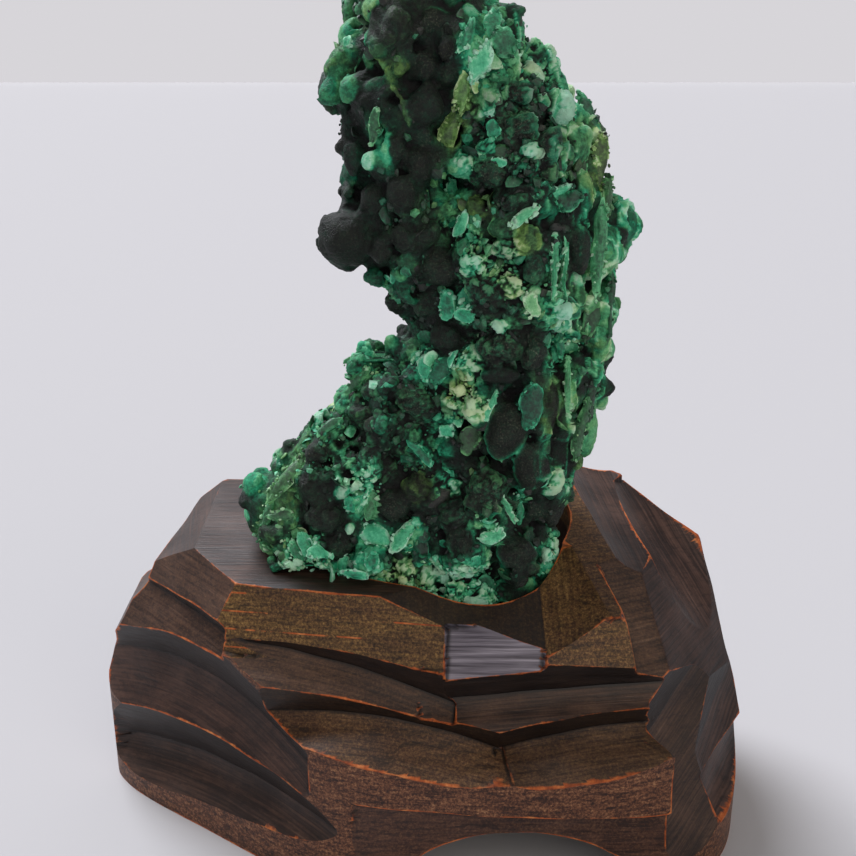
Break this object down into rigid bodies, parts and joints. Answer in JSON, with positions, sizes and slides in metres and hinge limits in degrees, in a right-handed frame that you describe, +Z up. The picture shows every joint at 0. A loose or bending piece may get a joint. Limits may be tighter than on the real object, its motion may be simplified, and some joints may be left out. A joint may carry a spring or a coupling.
{
  "type": "malachite specimen on a carved wooden stand",
  "caption": "Leaning tower of lumpy green malachite standing in the recess of a dark carved hardwood stand with rock-like ledges and an arched front.",
  "frame": {"origin": "on the ground, under the middle of the whole object's box", "axes": "+Z up; the carved front of the stand, with the arch, faces -Y; +X is to the right of someone who looks at that front"},
  "size_m": [0.1204, 0.0669, 0.1528],
  "materials": {
    "malachite": "natural botryoidal crust, velvety dark green with broken mint edges",
    "stained_wood": "carved, dark stained and waxed, worn to orange wood along the edges"
  },
  "bodies": {
    "root": {"malachite": "malachite", "stand": "stained_wood"}
  },
  "joints": []
}
